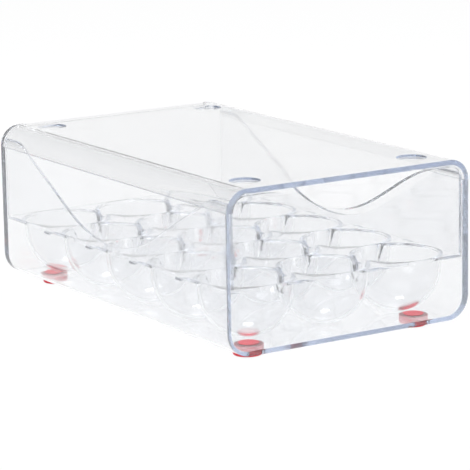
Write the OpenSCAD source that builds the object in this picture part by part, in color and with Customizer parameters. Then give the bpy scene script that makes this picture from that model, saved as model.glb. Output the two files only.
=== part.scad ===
// Clear egg keeper: a box with rounded long edges, a flip lid, a lift-out tray of cups and four rubber feet.
// The front faces -Y, the origin is on the surface under the middle of the box, and sizes are in millimetres.

/* [Box] */
// Width of the box, left to right
box_w = 156; // [150:1:200]
// Length of the box, front to back
box_l = 249; // [240:1:320]
// Height of the box from its underside to the top of the closed lid
box_h = 89.3; // [72:0.1:120]
// Wall thickness of the long sides
side_t = 2.8; // [2.4:0.1:3.4]
// Wall thickness of the front and the back
end_t = 3; // [2.8:0.1:4]
// Thickness of the floor
floor_t = 2; // [1.6:0.1:4]
// Radius of the rounded long edges at the top
top_r = 12; // [11:0.5:14]
// Radius of the rounded long edges at the bottom
bottom_r = 13.5; // [8:0.5:18]
// Width of the finger dip in the front wall
dip_w = 108; // [60:1:120]
// Depth of the finger dip
dip_depth = 14.8; // [8:0.1:22]

/* [Flip lid] */
// Thickness of the lid
lid_t = 2.8; // [2.6:0.1:3.2]
// Angle to which the lid's rolled long edges reach, from the top
roll_angle = 90; // [60:5:90]
// Gap between the lid's edges and the rims that they rest on
lid_seat_gap = 0.2; // [0.1:0.05:0.4]
// Gap between the underside of the lid and the top of the front wall
front_gap = 1.2; // [0.8:0.1:2]
// Diameter of the hinge pins moulded on the lid
pin_d = 1.8; // [1.4:0.1:1.8]
// Length of each hinge pin
pin_l = 4; // [3:0.1:4.5]
// Radial clearance of a hinge pin in its hole
pin_play = 0.05; // [0.02:0.01:0.1]
// Width of the two corner ears that hold the pins
ear_w = 15; // [14:0.5:20]
// Gap between the lid and the ears
ear_gap = 0.9; // [0.8:0.1:1.5]
// Gap between the lid's rounded back edge and the back wall under it
barrel_gap = 0.3; // [0.2:0.1:1]

/* [Egg tray] */
// Number of cups across the tray
cups_across = 3; // [3:1:3]
// Number of cups along the tray
cups_along = 5; // [3:1:5]
// Distance between the centres of neighbouring cups
cup_pitch = 48.7; // [46:0.1:50]
// Radius of a cup at its rim
rim_r = 25.1; // [24:0.1:26]
// Radius of the round bowl of a cup
bowl_r = 24.6; // [23:0.1:25]
// Height of the slightly conical lead-in over the bowl
lead_h = 6.3; // [2:0.1:7]
// Wall thickness of the cups and thickness of the deck around them
tray_t = 1.6; // [1.2:0.1:2.2]
// Thickness of the tray's two side wings
wing_t = 1.8; // [1.4:0.1:2.4]
// Clearance between the tray and the walls of the box
tray_play = 0.3; // [0.2:0.05:0.6]
// Drop from the top of the box to the high corners of the wings
wing_drop = 7.8; // [7.5:0.1:12]
// Height of the wings over the deck at their lowest point
wing_low = 3.3; // [2:0.1:10]
// Radius of the wide sweep at the bottom of each wing's V
sweep_r = 100; // [60:1:120]
// Radius of the shoulders at the top of each wing's V
shoulder_r = 20; // [10:1:30]
// Length of the level part at each end of a wing
shoulder_l = 12; // [6:1:20]
// Reach of the small tabs on the side walls that carry the tray
tab_reach = 3; // [2:0.1:3.5]
// Length of each tab along the wall
tab_l = 6; // [4:0.5:8]
// Thickness of the tabs
tab_t = 1.2; // [0.8:0.1:2]

/* [Feet] */
// Diameter of the rubber feet
foot_d = 16; // [14:0.1:18]
// How far the feet stand out under the box
foot_stand = 4.5; // [2:0.1:6]
// Radius of the rounded edge at the bottom of a foot
foot_edge_r = 1; // [0.5:0.1:1.5]
// Diameter of the stud by which a foot is pushed through the floor
stud_d = 11.4; // [9:0.1:13]
// How far the studs stand up over the floor
stud_rise = 0.3; // [0.2:0.1:2]
// Radial clearance of a stud in its hole
stud_play = 0.05; // [0.02:0.01:0.1]
// Clear height between the studs and the bottom of the cups
cup_clear = 0.9; // [0.6:0.1:5]
// Distance of the feet from the long sides, to their centres
foot_inset_x = 24; // [18:0.5:32]
// Distance of the feet from the front and the back, to their centres
foot_inset_y = 19.5; // [16:0.5:30]
// Extra diameter of the lid's stacking recesses over the feet
recess_play = 1; // [0.6:0.1:3]
// Depth of the stacking recesses
recess_depth = 1.2; // [0.6:0.1:1.4]

/* [Hidden] */
$fn = 96;

// Excess by which a cut runs past the face that it opens
past = 1;
// Steps in the curve of the finger dip and in each curved stretch of a wing's edge
dip_steps = 48;
wing_steps = 16;

// Heights from the surface that the feet stand on
base_z = foot_stand;
top_z = base_z + box_h;
rim_z = top_z - top_r * (1 - cos(roll_angle));
front_top_z = top_z - lid_t - front_gap;
back_top_z = top_z - lid_t - barrel_gap;
stud_top_z = base_z + floor_t + stud_rise;
cup_base_z = stud_top_z + cup_clear;
deck_z = cup_base_z + tray_t + bowl_r + lead_h;
bowl_z = deck_z - lead_h;
wing_z = top_z - wing_drop;
wing_low_z = deck_z + wing_low;

// Half sizes of the tray, and of the space that its cups may open in
tray_x = box_w / 2 - side_t - tray_play;
tray_y = box_l / 2 - end_t - tray_play;
cup_x = tray_x - wing_t;
cup_y = tray_y - tray_t;

// The hinge runs along the middle of the lid's rounded back edge
hinge_y = box_l / 2 - end_t / 2;
hinge_z = top_z - lid_t / 2;
hinge_half = box_w / 2 - ear_w - ear_gap / 2;

foot_x = box_w / 2 - foot_inset_x;
foot_y = box_l / 2 - foot_inset_y;

// Slope of a wing's V: the line that touches the sweep from below and the shoulder from above
shoulder_y = tray_y - shoulder_l;
sweep_to_shoulder = [shoulder_y, wing_z - shoulder_r - wing_low_z - sweep_r];
wing_slope = atan2(sweep_to_shoulder[1], sweep_to_shoulder[0])
             + asin((sweep_r + shoulder_r) / norm(sweep_to_shoulder));

// Outline of the box across its length, from its underside up to height h
module box_profile(w, h, upper_r, lower_r) {
    translate([-w / 2, lower_r]) square([w, h - lower_r - upper_r]);
    translate([-w / 2 + lower_r, 0]) square([w - 2 * lower_r, lower_r * 2]);
    translate([-w / 2 + upper_r, h - 2 * upper_r]) square([w - 2 * upper_r, upper_r * 2]);
    for (side = [-1, 1]) {
        translate([side * (w / 2 - lower_r), lower_r]) circle(lower_r);
        translate([side * (w / 2 - upper_r), h - upper_r]) circle(upper_r);
    }
}

// Carries an outline drawn across the box to a solid from y0 to y1
module along_box(y0, y1) {
    translate([0, y1, 0]) rotate([90, 0, 0]) linear_extrude(y1 - y0) children();
}

// A block from its lowest corner to its highest corner
module block(low, high) {
    translate(low) cube(high - low);
}

module outer_profile() {
    translate([0, base_z]) box_profile(box_w, box_h, top_r, bottom_r);
}

// The outline inside the closed lid, a given distance in from the outer one
module nested_profile(inset) {
    translate([0, base_z]) box_profile(box_w - 2 * inset, box_h - inset, top_r - inset, bottom_r);
}

// The hollow of the box, open at the top
module cavity() {
    along_box(-box_l / 2 + end_t, box_l / 2 - end_t)
        translate([0, base_z + floor_t])
            box_profile(box_w - 2 * side_t, 2 * box_h, bottom_r, bottom_r - side_t);
}

// Low part of the walls, up to the rims that the lid rests on
module lower_walls() {
    intersection() {
        along_box(-box_l / 2, box_l / 2) outer_profile();
        block([-box_w, -box_l, 0], [box_w, box_l, rim_z]);
    }
}

// High part of the front and the back wall, nested inside the lid's rolled edges
module end_wall(y0, y1, wall_top) {
    intersection() {
        along_box(y0, y1) nested_profile(lid_t + front_gap);
        block([-box_w, y0, rim_z - past], [box_w, y1, wall_top]);
    }
}

// One of the two corners at the back that rise to the top and hold a hinge pin
module hinge_ear(side) {
    intersection() {
        along_box(box_l / 2 - end_t, box_l / 2) outer_profile();
        translate([side * (box_w / 2 - ear_w / 2), hinge_y, top_z - top_r / 2])
            cube([ear_w, end_t, top_r], center = true);
    }
}

module hinge_hole(side) {
    depth = pin_l + ear_gap;
    translate([side * (hinge_half + depth / 2), hinge_y, hinge_z])
        rotate([0, 90, 0]) cylinder(r = pin_d / 2 + pin_play, h = depth, center = true);
}

// The smooth dip in the front wall through which a finger lifts the lid
module finger_dip() {
    dip = [for (i = [0:dip_steps])
        let (x = dip_w * (i / dip_steps - 0.5))
        [x, front_top_z - dip_depth * (0.5 + 0.5 * cos(360 * x / dip_w))]];
    outline = concat(dip, [[dip_w / 2, top_z + past], [-dip_w / 2, top_z + past]]);
    along_box(-box_l / 2 - past, -box_l / 2 + end_t + past) polygon(outline);
}

// A tab on a side wall under the deck, a little thinner at its tip
module tray_tab(side, y) {
    wall_x = box_w / 2 - side_t;
    shelf_z = deck_z - tray_t;
    mirror([side < 0 ? 1 : 0, 0, 0])
        along_box(y - tab_l / 2, y + tab_l / 2)
            polygon([[wall_x + side_t / 2, shelf_z], [wall_x - tab_reach, shelf_z],
                     [wall_x - tab_reach, shelf_z - tab_t / 2], [wall_x, shelf_z - tab_t],
                     [wall_x + side_t / 2, shelf_z - tab_t]]);
}

module at_feet() {
    for (x = [-foot_x, foot_x], y = [-foot_y, foot_y]) {
        translate([x, y, 0]) children();
    }
}

module bin_body() {
    color("aliceblue") difference() {
        union() {
            difference() {
                union() {
                    lower_walls();
                    end_wall(-box_l / 2, -box_l / 2 + end_t, front_top_z);
                    end_wall(box_l / 2 - end_t, box_l / 2, back_top_z);
                    hinge_ear(-1);
                    hinge_ear(1);
                }
                cavity();
                finger_dip();
            }
            for (side = [-1, 1], gap = [1:cups_along - 1]) {
                tray_tab(side, (gap - cups_along / 2) * cup_pitch);
            }
        }
        hinge_hole(-1);
        hinge_hole(1);
        at_feet() translate([0, 0, base_z - past])
            cylinder(r = stud_d / 2 + stud_play, h = floor_t + 2 * past);
    }
}

// Outline of the lid: a plate with rolled edges, cut off level over the rims
module lid_profile() {
    intersection() {
        difference() {
            outer_profile();
            nested_profile(lid_t);
        }
        translate([-box_w, rim_z + lid_seat_gap]) square([2 * box_w, box_h]);
    }
}

module flip_lid() {
    plate_end = box_l / 2 - end_t - ear_gap;
    color("azure") difference() {
        union() {
            along_box(-box_l / 2, plate_end) lid_profile();
            block([-hinge_half, plate_end - past, top_z - lid_t], [hinge_half, hinge_y, top_z]);
            translate([0, hinge_y, hinge_z]) rotate([0, 90, 0]) {
                cylinder(d = lid_t, h = 2 * hinge_half, center = true);
                cylinder(d = pin_d, h = 2 * (hinge_half + pin_l), center = true);
            }
        }
        at_feet() translate([0, 0, top_z - recess_depth])
            cylinder(d = foot_d + recess_play, h = recess_depth + past);
    }
}

// The places of the cups, in rows across and columns along
module at_cups() {
    for (i = [0:cups_across - 1], j = [0:cups_along - 1]) {
        translate([(i - (cups_across - 1) / 2) * cup_pitch, (j - (cups_along - 1) / 2) * cup_pitch, 0])
            children();
    }
}

// A bowl with its lead-in, grown by a wall; the inner one runs on past the deck
module cup_shape(wall, over) {
    flare = (rim_r - bowl_r) / lead_h;
    translate([0, 0, bowl_z]) {
        sphere(r = bowl_r + wall);
        cylinder(r1 = bowl_r + wall, r2 = rim_r + wall + flare * over, h = lead_h + over);
    }
}

// The inside of a cup: it opens into its neighbours across the tray, and a thin wall parts it from the next row
module cup_hollow() {
    half_row = (cup_pitch - tray_t) / 2;
    intersection() {
        cup_shape(0, past);
        block([-2 * rim_r, -half_row, 0], [2 * rim_r, half_row, deck_z + past]);
    }
}

// Half of a wing's edge from the middle of its V to its level end
function wing_edge() = concat(
    [for (i = [0:wing_steps]) let (a = wing_slope * i / wing_steps)
        [sweep_r * sin(a), wing_low_z + sweep_r * (1 - cos(a))]],
    [for (i = [0:wing_steps]) let (a = wing_slope * (1 - i / wing_steps))
        [shoulder_y - shoulder_r * sin(a), wing_z - shoulder_r * (1 - cos(a))]]);

// The room for the tray between the side walls and, above their rims, inside the lid's rolled edges
module tray_room() {
    along_box(-box_l / 2, box_l / 2) {
        nested_profile(lid_t + tray_play);
        translate([-tray_x, 0]) square([2 * tray_x, rim_z]);
    }
}

// A side wing of the tray, with the wide V in its top edge
module wing(side) {
    half_edge = concat(wing_edge(), [[tray_y, wing_z]]);
    outline = concat(half_edge, [[tray_y, deck_z - tray_t], [0, deck_z - tray_t]]);
    intersection() {
        translate([side * (tray_x - wing_t / 2) - wing_t / 2, 0, 0]) rotate([90, 0, 90])
            linear_extrude(wing_t) {
                polygon(outline);
                mirror([1, 0]) polygon(outline);
            }
        tray_room();
    }
}

module egg_tray() {
    color("lavender") difference() {
        union() {
            block([-tray_x, -tray_y, deck_z - tray_t], [tray_x, tray_y, deck_z]);
            intersection() {
                at_cups() cup_shape(tray_t, 0);
                block([-tray_x, -tray_y, 0], [tray_x, tray_y, deck_z]);
            }
            wing(-1);
            wing(1);
        }
        intersection() {
            at_cups() cup_hollow();
            block([-cup_x, -cup_y, 0], [cup_x, cup_y, deck_z + past]);
        }
    }
}

// A rubber foot: a round pad with a rounded lower edge, and a stud through the floor
module foot(x, y) {
    color("firebrick") translate([x, y, 0]) rotate_extrude() {
        translate([0, foot_edge_r]) square([foot_d / 2, foot_stand - foot_edge_r]);
        square([foot_d / 2 - foot_edge_r, foot_stand]);
        square([stud_d / 2, stud_top_z]);
        intersection() {
            translate([foot_d / 2 - foot_edge_r, foot_edge_r]) circle(foot_edge_r, $fn = 32);
            square([foot_d, foot_stand]);
        }
    }
}

bin_body();
flip_lid();
egg_tray();
foot(-foot_x, -foot_y);  // foot_front_left
foot(foot_x, -foot_y);  // foot_front_right
foot(-foot_x, foot_y);  // foot_back_left
foot(foot_x, foot_y);  // foot_back_right
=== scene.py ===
"""Looks of the clear egg keeper: polished clear plastic, red rubber feet, a pale studio and the photograph's camera."""

import math

import bmesh
import bpy
from mathutils import Matrix, Vector


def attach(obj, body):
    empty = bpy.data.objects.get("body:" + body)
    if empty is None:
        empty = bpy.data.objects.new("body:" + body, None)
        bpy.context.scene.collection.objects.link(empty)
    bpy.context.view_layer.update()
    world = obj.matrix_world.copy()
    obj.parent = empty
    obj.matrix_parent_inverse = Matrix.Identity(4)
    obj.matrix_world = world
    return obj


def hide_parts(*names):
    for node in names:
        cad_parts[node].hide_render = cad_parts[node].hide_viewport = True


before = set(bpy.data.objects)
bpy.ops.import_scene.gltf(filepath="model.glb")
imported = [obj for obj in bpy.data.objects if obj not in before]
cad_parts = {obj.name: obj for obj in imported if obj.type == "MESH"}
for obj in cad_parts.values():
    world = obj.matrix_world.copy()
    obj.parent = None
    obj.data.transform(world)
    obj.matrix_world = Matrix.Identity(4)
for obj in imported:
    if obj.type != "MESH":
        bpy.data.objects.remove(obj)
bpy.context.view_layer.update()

# The plastic: what a face lets through (the rest scatters and shows along the edges), its refraction, the colour that
# long ways through it take on and how fast per metre, its two tints (patchy, low and high; the lid's are darker as
# painted shade standing in for the dim room its top mirrors) and what shadow rays see
CLEARNESS, PLASTIC_IOR = 0.98, 1.49
DEPTH_TINT, DEPTH_DENSITY = (0.46, 0.58, 0.80, 1), 4.5
BOX_TINTS = ((0.965, 0.967, 0.97), (0.975, 0.977, 0.98))
# The lid's tints are darker than the box's. This is painted shade for the grey its top shows by mirroring a dim room,
# laid over the plastic's own faint tint.
LID_TINTS_PAINTED_SHADE = ((0.87, 0.873, 0.876), (0.89, 0.893, 0.896))
SHADOW_TONE = (0.95, 0.955, 0.965)

# The studio: white walls, the dim ceiling that rounded edges and rims mirror, and how bright the world and floor are
WHITE = (1, 1, 1, 1)
CEILING = (0.66, 0.67, 0.69, 1)
WORLD_LIGHT, WORLD_SEEN = 0.7, 0.3     # light it gives, and what is added where it is seen
FLOOR_GLOW, FLOOR_GLOW_SHARE = 1.03, 0.85
FLOOR_RADIUS = 9.0
CLEAR_BOUNCES, GLOSS_BOUNCES = 96, 48

# The photograph's camera, in metres, degrees and millimetres of lens and sensor
CAMERA_PLACE, CAMERA_AIM = Vector((-0.7822, -1.2443, 0.3565)), Vector((-0.0137, -0.0309, 0.0465))
CAMERA_ROLL, CAMERA_LENS, CAMERA_SENSOR = -1.0, 201.56, 36.0


class Wire:
    """A shader socket or a number that ordinary operators turn into Math nodes."""

    def __init__(self, sheet, socket):
        self.sheet, self.socket = sheet, socket

    def math(self, operation, *values):
        return self.sheet.node("ShaderNodeMath", {"operation": operation}, *values)

    def __add__(self, other):
        return self.math("ADD", self, other)

    def __mul__(self, other):
        return self.math("MULTIPLY", self, other)

    __radd__ = __add__
    __rmul__ = __mul__


class Sheet:
    """The node sheet of one material or of the world."""

    def __init__(self, owner):
        owner.use_nodes = True
        self.tree = owner.node_tree
        self.tree.nodes.clear()

    def node(self, kind, settings, *values, out=0, **named):
        """Makes a node: its settings first, then its sockets by order or by name. Returns one output."""
        made = self.tree.nodes.new(kind)
        for key, value in settings.items():
            if key == "stops":
                for k, (place, colour) in enumerate(value):
                    stop = made.color_ramp.elements[k] if k < 2 else made.color_ramp.elements.new(place)
                    stop.position, stop.color = place, colour
            else:
                setattr(made, key, value)
        pairs = list(enumerate(values)) + [(k.replace("_", " "), v) for k, v in named.items()]
        for key, value in pairs:
            socket = made.inputs[key]
            if isinstance(key, str) and not socket.enabled:
                socket = next(one for one in made.inputs if one.name == key and one.enabled)
            if isinstance(value, Wire):
                self.tree.links.new(value.socket, socket)
            else:
                socket.default_value = value
        return Wire(self, made.outputs[out]) if made.outputs else None

    def place(self):
        return self.node("ShaderNodeTexCoord", {}, out="Object")

    def noise(self, scale, detail=3.0, roughness=0.5):
        return self.node("ShaderNodeTexNoise", {}, Vector=self.place(), Scale=scale, Detail=detail,
                         Roughness=roughness)

    def ramp(self, factor, *stops):
        return self.node("ShaderNodeValToRGB", {"stops": stops}, factor)

    def light_path(self, *names):
        """1 for a ray of any of these kinds."""
        kinds = [self.node("ShaderNodeLightPath", {}, out=name) for name in names]
        total = kinds[0]
        for kind in kinds[1:]:
            total = total.math("MAXIMUM", total, kind)
        return total

    def surface(self, shader, depth=None):
        named = {"Surface": shader} if depth is None else {"Surface": shader, "Volume": depth}
        self.node("ShaderNodeOutputMaterial", {}, **named)


def clear_plastic(name, tints):
    """Polished moulded plastic: nearly clear, bluish in its depth, with a slight ripple and fine handling marks."""
    material = bpy.data.materials.new(name)
    sheet = Sheet(material)
    drift = sheet.noise(18.0, detail=2.0)
    marks = sheet.noise(160.0, detail=4.0, roughness=0.6)
    colour = sheet.ramp(drift, (0.3, (*tints[0], 1)), (0.7, (*tints[1], 1)))
    haze = 0.012 + marks * 0.035
    ripple = sheet.node("ShaderNodeBump", {}, Strength=0.06, Distance=0.001, Height=sheet.noise(26.0, detail=1.0))
    plastic = sheet.node("ShaderNodeBsdfPrincipled", {}, Base_Color=colour, Roughness=haze, IOR=PLASTIC_IOR,
                         Normal=ripple, Transmission_Weight=CLEARNESS)
    film = sheet.node("ShaderNodeBsdfTransparent", {}, Color=(*SHADOW_TONE, 1))
    depth = sheet.node("ShaderNodeVolumeAbsorption", {}, Color=DEPTH_TINT, Density=DEPTH_DENSITY)
    sheet.surface(sheet.node("ShaderNodeMixShader", {}, sheet.light_path("Is Shadow Ray"), plastic, film), depth)
    return material


def red_rubber():
    """Soft red rubber with a fine grain and a slightly uneven colour."""
    material = bpy.data.materials.new("red_rubber")
    sheet = Sheet(material)
    cloud = sheet.noise(140.0, detail=4.0)
    grain = sheet.noise(2200.0, detail=2.0)
    colour = sheet.ramp(cloud, (0.3, (0.62, 0.012, 0.035, 1)), (0.75, (0.74, 0.022, 0.05, 1)))
    pores = sheet.node("ShaderNodeBump", {}, Strength=0.25, Distance=0.0002, Height=grain)
    sheet.surface(sheet.node("ShaderNodeBsdfPrincipled", {}, Base_Color=colour, Roughness=0.38 + cloud * 0.22,
                             Normal=pores))
    return material


def pale_floor():
    """A white floor that the camera sees as white but for the object's soft shadow."""
    material = bpy.data.materials.new("pale_floor")
    sheet = Sheet(material)
    mottle = sheet.noise(0.7)
    colour = sheet.ramp(mottle, (0.0, (0.86, 0.86, 0.87, 1)), (1.0, (0.9, 0.9, 0.9, 1)))
    board = sheet.node("ShaderNodeBsdfPrincipled", {}, Base_Color=colour, Roughness=0.9)
    glow = sheet.node("ShaderNodeEmission", {}, Color=WHITE, Strength=FLOOR_GLOW)
    seen = sheet.light_path("Is Camera Ray", "Is Glossy Ray", "Is Transmission Ray")
    sheet.surface(sheet.node("ShaderNodeMixShader", {}, seen * FLOOR_GLOW_SHARE, board, glow))
    return material


def studio_world():
    """A white studio: the camera sees white, and gloss and glass see white walls that darken towards the ceiling."""
    world = bpy.data.worlds.new("studio")
    bpy.context.scene.world = world
    sheet = Sheet(world)
    height = sheet.node("ShaderNodeSeparateXYZ", {}, sheet.node("ShaderNodeTexCoord", {}, out="Generated"), out=2)
    room = sheet.ramp(height, (0.30, WHITE), (0.62, CEILING))
    mirrored = sheet.light_path("Is Glossy Ray", "Is Transmission Ray")
    colour = sheet.node("ShaderNodeMix", {"data_type": "RGBA"}, mirrored, out=2, A=WHITE, B=room)
    seen = sheet.light_path("Is Camera Ray", "Is Glossy Ray", "Is Transmission Ray")
    sky = sheet.node("ShaderNodeBackground", {}, Color=colour, Strength=WORLD_LIGHT + seen * WORLD_SEEN)
    sheet.node("ShaderNodeOutputWorld", {}, Surface=sky)


# The moulded tray, in metres: cup spacing, deck, outline, bowls, rims, the channels between neighbours and the wings
PITCH_X, PITCH_Y = 0.0487, 0.0482
DECK, DECK_T, WALL = 0.0402, 0.0016, 0.0016
TRAY_X, TRAY_Y, WING_T = 0.0749, 0.1212, 0.0018
BOWL_R, BOWL_DEEP, BOWL_Z = 0.0234, 0.0246, 0.0339
RIM_R, RIM_ROUND = 0.02375, 0.00045
CHANNEL_HALF, CHANNEL_DEEP, CHANNEL_FOOT = 0.0070, 0.0025, 0.0216
WING_LOW, WING_HIGH, SWEEP_R, SHOULDER_R, SHOULDER_Y = 0.0435, 0.0860, 0.100, 0.020, 0.1092
WING_SOFT = 0.0004    # rounding of a wing's top edge
LID_X, LID_Z, LID_R = 0.066, 0.0818, 0.0089   # middle and radius of the room inside the lid's rolled edges
SIDE_STEPS, BOWL_STEPS, WALL_STEPS, RIM_STEPS = 24, 16, 3, 4
WELD, SLIVER = 2e-6, 1e-6     # how near points are joined, and how short an edge is dropped
SHARP_ANGLE = math.radians(40)


def cup_profile(grow, top):
    """Radius and height of a cup from near the middle of its bottom to its rounded edge, grown by a wall."""
    turns = [math.radians(90 * k / BOWL_STEPS) for k in range(1, BOWL_STEPS + 1)]
    rings = [((BOWL_R + grow) * math.sin(a), BOWL_Z - (BOWL_DEEP + grow) * math.cos(a)) for a in turns]
    for k in range(1, WALL_STEPS + 1):
        rings.append((BOWL_R + grow + (RIM_R - BOWL_R) * k / WALL_STEPS,
                      BOWL_Z + (top - RIM_ROUND - BOWL_Z) * k / WALL_STEPS))
    for k in range(1, RIM_STEPS + 1):
        a = math.radians(90 / RIM_STEPS * k)
        rings.append((RIM_R + grow + RIM_ROUND * (1 - math.cos(a)), top - RIM_ROUND * (1 - math.sin(a))))
    return rings


def cell_edge(left, right, down, up):
    """Points round the outline of a cup's cell, seen from its middle, at nearly even angles."""
    steps = [math.tan(math.pi / 4 * (2 * k / SIDE_STEPS - 1)) for k in range(SIDE_STEPS)]

    def span(t, low, high):
        return t * (high if t > 0 else low)

    return ([(right, span(t, down, up)) for t in steps] + [(-span(t, right, left), up) for t in steps]
            + [(-left, -span(t, up, down)) for t in steps] + [(span(t, left, right), -down) for t in steps])


def cup_surface(mesh, centre, sides, open_left, open_right, grow, top):
    """One cup's inner or outer face with its share of the deck."""
    profile = cup_profile(grow, top)
    columns = []
    for bx, by in cell_edge(*sides):
        reach = math.hypot(bx, by)
        c, s = bx / reach, by / reach
        points = []
        last = (0.0, BOWL_Z - BOWL_DEEP - grow)
        for r, z in profile:
            if r > reach:
                t = (reach - last[0]) / (r - last[0]) if last[0] < reach else 0.0
                r, z = reach, last[1] + (z - last[1]) * t
            last = (r, z)
            points.append(last)
        points += [((last[0] + reach) / 2, last[1]), (reach, last[1])]
        y = abs(s) * (RIM_R + RIM_ROUND) / CHANNEL_HALF
        drop = 0.0
        if y < 1 and ((c > 0 and open_right) or (c < 0 and open_left)):
            drop = CHANNEL_DEEP * (0.5 + 0.5 * math.cos(math.pi * y * y))
        squeeze = 1 - drop / (DECK - CHANNEL_FOOT)
        column = []
        for r, z in points:
            if z > CHANNEL_FOOT:
                z = CHANNEL_FOOT + (z - CHANNEL_FOOT) * squeeze
            column.append(mesh.verts.new((centre[0] + c * r, centre[1] + s * r, z)))
        columns.append(column)
    bottom = mesh.verts.new((centre[0], centre[1], BOWL_Z - BOWL_DEEP - grow))
    for a, b in zip(columns, columns[1:] + columns[:1]):
        mesh.faces.new((bottom, a[0], b[0]))
        for k in range(len(a) - 1):
            mesh.faces.new((a[k], a[k + 1], b[k + 1], b[k]))


def wing_top(y):
    """Height of a wing's edge: a wide sweep, a straight slope, a shoulder and a level end."""
    y = abs(y)
    run, rise = SHOULDER_Y, WING_HIGH - SHOULDER_R - WING_LOW - SWEEP_R
    slope = math.atan2(rise, run) + math.asin((SWEEP_R + SHOULDER_R) / math.hypot(run, rise))
    if y < SWEEP_R * math.sin(slope):
        return WING_LOW + SWEEP_R - math.sqrt(SWEEP_R ** 2 - y ** 2)
    if y > SHOULDER_Y:
        return WING_HIGH
    if y > SHOULDER_Y - SHOULDER_R * math.sin(slope):
        return WING_HIGH - SHOULDER_R + math.sqrt(SHOULDER_R ** 2 - (SHOULDER_Y - y) ** 2)
    return WING_LOW + SWEEP_R * (1 - math.cos(slope)) + (y - SWEEP_R * math.sin(slope)) * math.tan(slope)


def room_x(z):
    """How far out a wing may reach at a height, under the lid's rolled edge."""
    return TRAY_X if z <= LID_Z else LID_X + math.sqrt(LID_R ** 2 - (z - LID_Z) ** 2)


def wing_faces(mesh, side, ys):
    """The faces of one wing, from the deck over its edge and down to the deck's underside."""
    columns = []
    for y in ys:
        high = wing_top(y)
        mid = min(high, LID_Z)
        levels = [high, mid + (high - mid) * 0.67, mid + (high - mid) * 0.33, mid]
        inner, soft = TRAY_X - WING_T, WING_SOFT
        path = [(inner, DECK), (inner, high - 4 * soft), (inner, high - soft),
                (inner + soft * 0.3, high - soft * 0.3), (inner + soft, high)]
        path += [(room_x(z), z) for z in levels] + [(TRAY_X, mid - 3 * soft), (TRAY_X, DECK - DECK_T)]
        columns.append([mesh.verts.new((side * x, y, z)) for x, z in path])
    for a, b in zip(columns, columns[1:]):
        for k in range(len(a) - 1):
            mesh.faces.new((a[k], a[k + 1], b[k + 1], b[k]))


def moulded_tray(material):
    """The clear egg tray as one moulded skin: rounded rims, round bowls, channels across and two swept wings."""
    mesh = bmesh.new()
    half_x, half_y = PITCH_X / 2, PITCH_Y / 2
    ys = []
    for j in range(5):
        down = TRAY_Y - 2 * PITCH_Y if j == 0 else half_y
        up = TRAY_Y - 2 * PITCH_Y if j == 4 else half_y
        centre_y = (j - 2) * PITCH_Y
        for k in range(SIDE_STEPS + (j == 4)):
            t = math.tan(math.pi / 4 * (2 * k / SIDE_STEPS - 1))
            ys.append(centre_y + t * (up if t > 0 else down))
        for i in range(3):
            for grow, top, outline in ((0.0, DECK, TRAY_X - WING_T), (WALL, DECK - DECK_T, TRAY_X)):
                left = outline - PITCH_X if i == 0 else half_x
                right = outline - PITCH_X if i == 2 else half_x
                cup_surface(mesh, ((i - 1) * PITCH_X, centre_y), (left, right, down, up), i > 0, i < 2, grow, top)
    for side in (-1, 1):
        wing_faces(mesh, side, ys)
    bmesh.ops.remove_doubles(mesh, verts=mesh.verts, dist=WELD)
    bmesh.ops.dissolve_degenerate(mesh, edges=mesh.edges, dist=SLIVER)
    open_edges = [edge for edge in mesh.edges if edge.is_boundary]
    ends = bmesh.ops.holes_fill(mesh, edges=open_edges, sides=0)["faces"]
    bmesh.ops.triangulate(mesh, faces=ends)
    bmesh.ops.recalc_face_normals(mesh, faces=mesh.faces)
    data = bpy.data.meshes.new("moulded_egg_tray")
    mesh.to_mesh(data)
    mesh.free()
    data.shade_smooth()
    data.set_sharp_from_angle(angle=SHARP_ANGLE)
    data.materials.append(material)
    tray = bpy.data.objects.new("moulded_egg_tray", data)
    bpy.context.collection.objects.link(tray)
    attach(tray, "bin")
    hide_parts("egg_tray")


def make_floor():
    """The floor that the keeper stands on, as stage."""
    bpy.ops.mesh.primitive_circle_add(vertices=96, radius=FLOOR_RADIUS, fill_type="NGON", location=(0, 0, 0))
    floor = bpy.context.object
    floor.name = "floor"
    floor.data.materials.append(pale_floor())


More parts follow.
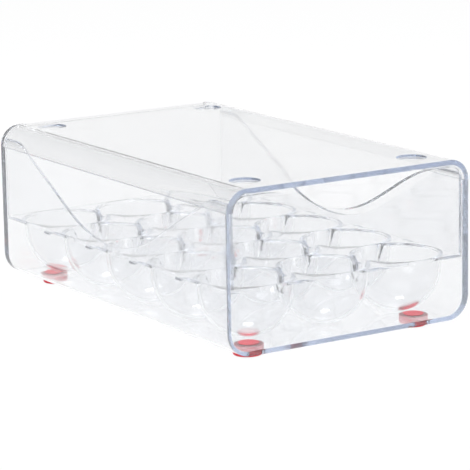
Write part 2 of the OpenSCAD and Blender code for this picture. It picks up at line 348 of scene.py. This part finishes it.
def softbox(name, place, aim, width, height, power):
    """An oval area light at a place, turned to an aim."""
    lamp = bpy.data.lights.new(name, "AREA")
    lamp.shape, lamp.size, lamp.size_y, lamp.energy = "ELLIPSE", width, height, power
    holder = bpy.data.objects.new(name, lamp)
    bpy.context.collection.objects.link(holder)
    holder.location = place
    holder.rotation_mode = "QUATERNION"
    holder.rotation_quaternion = (Vector(aim) - Vector(place)).to_track_quat("-Z", "Y")


def photo_camera():
    """The photograph's camera, far off with a long lens and a slight roll."""
    roll = math.radians(CAMERA_ROLL)
    back = (CAMERA_PLACE - CAMERA_AIM).normalized()
    right = Vector((0, 0, 1)).cross(back).normalized()
    up = back.cross(right)
    turned_right = right * math.cos(roll) + up * math.sin(roll)
    turned_up = up * math.cos(roll) - right * math.sin(roll)
    data = bpy.data.cameras.new("camera")
    data.lens, data.sensor_width = CAMERA_LENS, CAMERA_SENSOR
    data.clip_start, data.clip_end = 0.05, 50.0
    camera = bpy.data.objects.new("camera", data)
    bpy.context.collection.objects.link(camera)
    axes = Matrix((turned_right, turned_up, back)).transposed().to_4x4()
    camera.matrix_world = Matrix.Translation(CAMERA_PLACE) @ axes
    bpy.context.scene.camera = camera


def dress(node, material):
    """Gives a CAD node its finished material."""
    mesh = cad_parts[node].data
    mesh.materials.clear()
    mesh.materials.append(material)


dress("bin_body", clear_plastic("clear_body", BOX_TINTS))
# The lid gets the darker tints: painted shade on the same clear plastic as the box.
dress("flip_lid", clear_plastic("clear_lid", LID_TINTS_PAINTED_SHADE))
moulded_tray(clear_plastic("clear_tray", BOX_TINTS))
rubber = red_rubber()
for corner in ("front_left", "front_right", "back_left", "back_right"):
    dress("foot_" + corner, rubber)

make_floor()
studio_world()
softbox("top_softbox", (-0.3, -0.2, 1.6), (0, 0, 0), 1.6, 1.6, 5.0)
softbox("back_softbox", (0.29, 0.46, 1.35), (0, 0, 0), 0.45, 0.45, 5.0)
softbox("left_softbox", (-1.6, -0.6, 0.7), (0, 0, 0.05), 0.9, 0.7, 4.0)
photo_camera()

scene = bpy.context.scene
scene.view_settings.view_transform = "Standard"
scene.cycles.max_bounces = CLEAR_BOUNCES
scene.cycles.transmission_bounces = CLEAR_BOUNCES
scene.cycles.glossy_bounces = GLOSS_BOUNCES
scene.cycles.transparent_max_bounces = CLEAR_BOUNCES
